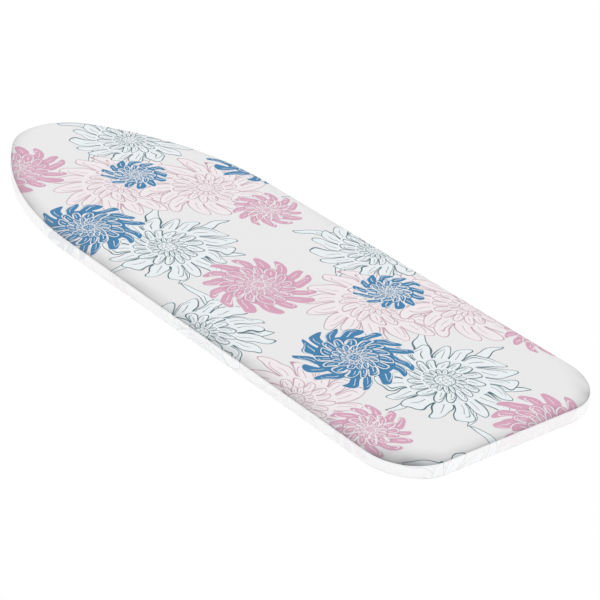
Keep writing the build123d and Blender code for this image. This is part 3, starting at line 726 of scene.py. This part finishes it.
def felt_finish():
    """Needled polyester felt: a dull off-white tangle of fibres with a few darker ones."""
    material, tree = new_material("Needled felt")
    place = add(tree, "TexCoord").outputs["Object"]
    # Needle marks lie 2.5 mm apart, and fibres are drawn 1 mm wide, coarser than the real 0.03 mm.
    marks = add(tree, "TexVoronoi", place, None, 1 / (2.5 * MM), feature="F1")
    fibres = add(tree, "TexNoise", place, None, 1 / (1.0 * MM), 3.0, 0.7)
    clouds = add(tree, "TexNoise", place, None, 1 / (40 * MM), 2.0)
    tone = add(tree, "MixRGB", clouds, linear("#DDDCD6"), linear("#CFCEC7"))
    dark = add(tree, "MapRange", fibres, 0.62, 0.75, 0.0, 0.35)
    flecked = add(tree, "MixRGB", dark, tone, linear("#8F9094"))
    pitted = add(tree, "Math ADD", marks, fibres)
    bump = add(tree, "Bump", links={"Strength": 0.7, "Distance": 0.3 * MM, "Height": pitted})
    felt = add(
        tree,
        "BsdfPrincipled",
        links={"Base Color": flecked, "Roughness": 1.0, "Normal": bump, "Specular IOR Level": 0.15},
    )
    finish_material(tree, felt)
    return material


# ---------------------------------------------------------------- pieces
# Rings of the cover over the rolled edge, as shares of its greatest width.
CROWN_RINGS = (0.06, 0.12, 0.19, 0.27, 0.36, 0.46, 0.57, 0.7, 0.85, 1)

# The side band and its gathers.
WALL_BULGE = 0.5 * MM  # how far the band stands out half way down
TIGHTEST = -0.67  # where along the sides the hem is drawn up tightest, in half lengths
STRAY = 0.35  # how far a gather strays from an even spacing, in gathers
DEPTH_SPREAD = 0.4  # how much gathers differ in depth
ON_STRAIGHTS = 0.25  # depth of a gather on a straight side, against one in a bend
CASING_TURN = 1.7 * math.pi  # how far the hem's end is rolled


class BOARD_OT_top(bpy.types.Operator):
    """Stretch the printed cloth over the crowned padding, from seam to seam"""

    bl_idname = "board.top"
    bl_label = "Printed top"

    def execute(self, context):
        shape = context.scene.board_shape
        skin = Shell(shape, step=5 * MM)
        widest = shape.crown_width * (1 + shape.corner_softness)
        insets = [shape.seam_groove * k for k in (1, 2)]
        insets += [widest * share for share in CROWN_RINGS]
        ring = skin.start(top_row, shape, 0.2 * MM, 0)
        for inset in insets:
            ring = skin.grow(ring, top_row, shape, inset, 0)
        skin.close(ring, shape, widest, COVER_HIGH.z, rows=14)
        top = skin.finish("printed_top")
        thicken(top, shape)
        colours = context.scene.board_colours
        top.data.materials.append(printed_cloth("Printed cotton", colours, colours.cloth, 1))
        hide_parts("cover")
        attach(top, "board")
        return {"FINISHED"}


class BOARD_OT_skirt(bpy.types.Operator):
    """Pull the side band down over the rim and gather its hem underneath"""

    bl_idname = "board.skirt"
    bl_label = "Side band"

    def execute(self, context):
        shape = context.scene.board_shape
        skin = Shell(shape, step=2.6 * MM)
        bend = 3.5 * MM  # radius of the lower edge
        on_wall, at_cord = 0.7, 1.3  # size of a gather at the foot of the wall and at the cord
        puckers = round(skin.length / shape.pucker_pitch)

        def seam_z(sample):
            """Level of the seam, just under the edge of the top."""
            return COVER_HIGH.z - crown(shape, sample, 0) - 0.3 * MM

        def hem_z(sample):
            """Level of the hem: it is drawn up tightest near the tail end of the sides."""
            along = max(0.0, sample.point.x / COVER_HIGH.x - TIGHTEST)
            at_tail = max(0.0, -sample.normal.x) ** 2
            return COVER_LOW.z - shape.hem_sag * (shape.side_sag * along + at_tail)

        def fall(sample):
            """How far the band comes down from the seam to the hem."""
            return seam_z(sample) - hem_z(sample)

        def gather(sample, share):
            """Height of a gather, largest where the edge bends and at the cord."""
            drift = STRAY * noise.noise(Vector((sample.run * 90, 0, 2)))
            wave = math.sin(2 * math.pi * (puckers * sample.run + drift))
            depth = 1 - DEPTH_SPREAD + DEPTH_SPREAD * noise.noise(Vector((sample.run * 160, 3, 1)))
            depth *= ON_STRAIGHTS + (1 - ON_STRAIGHTS) * sample.bend
            return shape.pucker_height * wave * depth * share

        def place(sample, inset, height, down):
            """A point at an inset and a height, lying so far down the flat band."""
            at = sample.point - sample.normal * inset
            return at, height, sample.point + sample.normal * down, (0, 0)

        def hang(sample, share):
            """Down the wall, which bulges a little and starts to gather."""
            drop = (fall(sample) - bend) * share
            bulge = WALL_BULGE * math.sin(math.pi * share) + gather(sample, on_wall * share**1.5)
            return place(sample, -bulge, seam_z(sample) - drop, drop)

        def tuck(sample, share):
            """Round the lower edge."""
            turn = math.pi / 2 * share
            wall = fall(sample) - bend
            inset = bend * (1 - math.cos(turn)) - gather(sample, on_wall * (1 - share))
            height = hem_z(sample) + bend * (1 - math.sin(turn)) - abs(gather(sample, share))
            return place(sample, inset, height, wall + bend * turn)

        def hem(sample, share):
            """Inwards under the rim, ever more gathered."""
            inset = bend + (shape.hem_width - bend) * share
            height = hem_z(sample) - abs(gather(sample, 1)) + gather(sample, at_cord * share)
            return place(sample, inset, height, fall(sample) + inset)

        def casing(sample, share):
            """Round the cord's casing at the hem's inner edge."""
            turn = CASING_TURN * share
            size = shape.casing_radius
            inset = shape.hem_width + size * math.sin(turn)
            height = hem_z(sample) - abs(gather(sample, 1)) + gather(sample, at_cord)
            height -= size * (1 - math.cos(turn))
            return place(sample, inset, height, fall(sample) + shape.hem_width + size * turn)

        ring = skin.start(hang, 0.0)
        for path, steps in ((hang, 6), (tuck, 3), (hem, 5), (casing, 6)):
            for k in range(1, steps + 1):
                ring = skin.grow(ring, path, k / steps)
        skirt = skin.finish("side_band")
        thicken(skirt, shape)
        colours = context.scene.board_colours
        # A paler copy of the printed cloth, partly painted light for the bright light on the band.
        skirt.data.materials.append(printed_cloth("Pale printed cotton", colours, colours.skirt, 0.2))
        hang_down = sum(fall(sample) for sample in skin.edge) / len(skin.edge)
        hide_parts("cover")
        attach(skirt, "board")
        return {"FINISHED"}


class BOARD_OT_pad(bpy.types.Operator):
    """Lay the felt padding on the steel mesh, crowned under the cover"""

    bl_idname = "board.pad"
    bl_label = "Felt padding"

    def execute(self, context):
        shape = context.scene.board_shape
        skin = Shell(shape, step=9 * MM)
        margin = max(PAD_LOW.x - COVER_LOW.x, 1.2 * MM)
        under = shape.cloth_thickness + 0.4 * MM  # clear of the cover's inside
        widest = shape.crown_width * (1 + shape.corner_softness)

        def foot(sample, share):
            """Round the lower edge, up to the crowned top."""
            at, height, laid, shade = top_row(sample, shape, margin, under)
            return at, PAD_LOW.z + (height - PAD_LOW.z) * share, laid, shade

        edge = skin.start(foot, 0.0)
        skin.close(edge, shape, margin, PAD_LOW.z, rows=4)
        ring = skin.grow(edge, foot, 0.5)
        ring = skin.grow(ring, foot, 1.0)
        for k in range(1, 9):
            ring = skin.grow(ring, top_row, shape, margin + (widest - margin) * k / 8, under)
        skin.close(ring, shape, widest, COVER_HIGH.z - under, rows=10)
        pad = skin.finish("felt_pad")
        pad.data.materials.append(felt_finish())
        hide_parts("foam_pad")
        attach(pad, "board")
        return {"FINISHED"}


class BOARD_OT_panel(bpy.types.Operator):
    """Weld the fine expanded steel mesh across the frame, under the padding"""

    bl_idname = "board.panel"
    bl_label = "Steel mesh"

    def execute(self, context):
        shape = context.scene.board_shape
        edge, _ = outline(shape, step=10 * MM)
        tree = kdtree.KDTree(len(edge))
        for i, sample in enumerate(edge):
            tree.insert(sample.point.to_3d(), i)
        tree.balance()
        long, short = shape.mesh_long_pitch, shape.mesh_short_pitch
        cells = 2 * math.ceil(PANEL_HIGH.x / long + PANEL_HIGH.y / short)
        bm = bmesh.new()
        bmesh.ops.create_grid(bm, x_segments=cells, y_segments=cells, size=cells / 2)
        slant = Matrix(((long / 2, long / 2, 0), (short / 2, -short / 2, 0), (0, 0, 1)))
        bmesh.ops.transform(bm, matrix=slant.to_4x4(), verts=bm.verts)
        margin = PANEL_LOW.x - COVER_LOW.x + long / 2
        outside = []
        for face in bm.faces:
            middle = face.calc_center_median()
            sample = edge[tree.find(middle)[1]]
            if (middle.xy - sample.point).dot(sample.normal) > -margin:
                outside.append(face)
        bmesh.ops.delete(bm, geom=outside, context="FACES")
        bmesh.ops.wireframe(
            bm,
            faces=bm.faces[:],
            thickness=shape.mesh_strand,
            use_replace=True,
            use_boundary=True,
            use_even_offset=True,
        )
        highest = max(vert.co.z for vert in bm.verts)
        flatten = (PANEL_HIGH.z - PANEL_LOW.z) / 2 / highest
        bmesh.ops.scale(bm, vec=(1, 1, flatten), verts=bm.verts)
        bmesh.ops.translate(bm, vec=(0, 0, (PANEL_HIGH.z + PANEL_LOW.z) / 2), verts=bm.verts)
        bmesh.ops.recalc_face_normals(bm, faces=bm.faces)
        panel = new_object("steel_mesh", bm)
        panel.data.materials.append(plain_finish(*FINISHES["mesh_steel"]))
        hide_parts("top_panel")
        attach(panel, "board")
        return {"FINISHED"}


class BOARD_OT_finishes(bpy.types.Operator):
    """Give the frame, the legs and the lock their paint, plate, nylon, plastic and rubber"""

    bl_idname = "board.finishes"
    bl_label = "Finishes"

    def execute(self, context):
        made = {slot: plain_finish(*facts) for slot, facts in FINISHES.items()}
        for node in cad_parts.values():
            for slot in node.material_slots:
                name = slot.material.name.split(".")[0]
                if name in made:
                    slot.material = made[name]
        return {"FINISHED"}


# ---------------------------------------------------------------- stage
FLOOR_GLOW = 0.87  # how much of the floor's white is its own, where it is looked at
SKY = 0.62  # strength of the white sky's light
TARGET = Vector((-0.1573, 0.0139, COVER_HIGH.z - 4 * MM))  # what the camera looks at
# Soft lamps: name, strength, softness in degrees and where they stand.  The key light is beyond
# the nose and the far side, and the two fills are low, at the tail and the near side.
LAMPS = (
    ("key", 1.5, 40, (0.75, -0.66, 0.58)),
    ("tail fill", 2.1, 50, (-0.96, -0.28, 0.06)),
    ("side fill", 2.0, 50, (0.28, 0.96, 0.06)),
)


class BOARD_OT_stage(bpy.types.Operator):
    """Set the white floor, the soft studio light and the camera"""

    bl_idname = "board.stage"
    bl_label = "Stage"

    def execute(self, context):
        stage = context.scene.board_stage
        scene = context.scene
        scene.view_settings.view_transform = "Standard"

        def is_seen(tree):
            """1 for the rays that should meet plain white: camera, glossy and transmission."""
            path = add(tree, "LightPath").outputs
            seen = add(tree, "Math MAXIMUM", path["Is Camera Ray"], path["Is Glossy Ray"])
            return add(tree, "Math MAXIMUM", seen, path["Is Transmission Ray"])

        bm = bmesh.new()
        bmesh.ops.create_grid(bm, x_segments=1, y_segments=1, size=14.0)
        bmesh.ops.translate(bm, vec=(0, 0, stage.floor_level), verts=bm.verts)
        floor = new_object("floor", bm)
        material, tree = new_material("White studio floor")
        seen = is_seen(tree)
        matt = add(tree, "BsdfDiffuse", add(tree, "MixRGB", seen, linear("#DCDCDC"), linear("#FFFFFF")))
        glow = add(tree, "Emission", (1, 1, 1, 1), 1.0)
        share = add(tree, "Math MULTIPLY", seen, FLOOR_GLOW)
        lit = add(tree, "MixShader", share, matt, glow)
        # Open from below, so that the underside can be looked at.
        below = add(tree, "NewGeometry").outputs["Backfacing"]
        finish_material(tree, add(tree, "MixShader", below, lit, add(tree, "BsdfTransparent")))
        floor.data.materials.append(material)

        world = bpy.data.worlds.new("Studio")
        scene.world = world
        world.use_nodes = True
        tree = world.node_tree
        tree.nodes.clear()
        light = add(tree, "Background", (1, 1, 1, 1), SKY)
        white = add(tree, "Background", (1, 1, 1, 1), 1.0)
        mixed = add(tree, "MixShader", is_seen(tree), light, white)
        tree.links.new(mixed.outputs[0], add(tree, "OutputWorld").inputs["Surface"])

        for name, strength, softness, place in LAMPS:
            data = bpy.data.lights.new(name, "SUN")
            data.energy = strength
            data.angle = math.radians(softness)
            lamp = bpy.data.objects.new(name, data)
            scene.collection.objects.link(lamp)
            lamp.rotation_euler = Vector(place).to_track_quat("Z", "Y").to_euler()

        level, height = math.cos(stage.elevation), math.sin(stage.elevation)
        back = Vector((math.sin(stage.azimuth) * level, -math.cos(stage.azimuth) * level, height))
        right = Vector((math.cos(stage.azimuth), math.sin(stage.azimuth), 0))
        up = back.cross(right)
        turned_right = right * math.cos(stage.roll) + up * math.sin(stage.roll)
        turned_up = up * math.cos(stage.roll) - right * math.sin(stage.roll)
        data = bpy.data.cameras.new("camera")
        data.sensor_width = 36
        data.lens = stage.lens
        camera = bpy.data.objects.new("camera", data)
        scene.collection.objects.link(camera)
        axes = Matrix((turned_right, turned_up, back)).transposed().to_4x4()
        camera.matrix_world = Matrix.Translation(TARGET + back * stage.distance) @ axes
        scene.camera = camera
        return {"FINISHED"}


# ---------------------------------------------------------------- sidebar
STEPS = ("top", "skirt", "pad", "panel", "finishes", "stage")


class BOARD_PT_sidebar(bpy.types.Panel):
    """The board's pieces, in the order in which they are made"""

    bl_idname = "BOARD_PT_sidebar"
    bl_label = "Ironing board"
    bl_space_type = "VIEW_3D"
    bl_region_type = "UI"
    bl_category = "Board"

    def draw(self, context):
        for step in STEPS:
            self.layout.operator(f"board.{step}")


CLASSES = (
    BoardShape,
    BoardColours,
    StageSettings,
    BOARD_OT_top,
    BOARD_OT_skirt,
    BOARD_OT_pad,
    BOARD_OT_panel,
    BOARD_OT_finishes,
    BOARD_OT_stage,
    BOARD_PT_sidebar,
)


def register():
    for cls in CLASSES:
        bpy.utils.register_class(cls)
    bpy.types.Scene.board_shape = bpy.props.PointerProperty(type=BoardShape)
    bpy.types.Scene.board_colours = bpy.props.PointerProperty(type=BoardColours)
    bpy.types.Scene.board_stage = bpy.props.PointerProperty(type=StageSettings)


def unregister():
    del bpy.types.Scene.board_stage
    del bpy.types.Scene.board_colours
    del bpy.types.Scene.board_shape
    for cls in reversed(CLASSES):
        bpy.utils.unregister_class(cls)


def main():
    register()
    for step in STEPS:
        getattr(bpy.ops.board, step)()


if __name__ == "__main__":
    main()
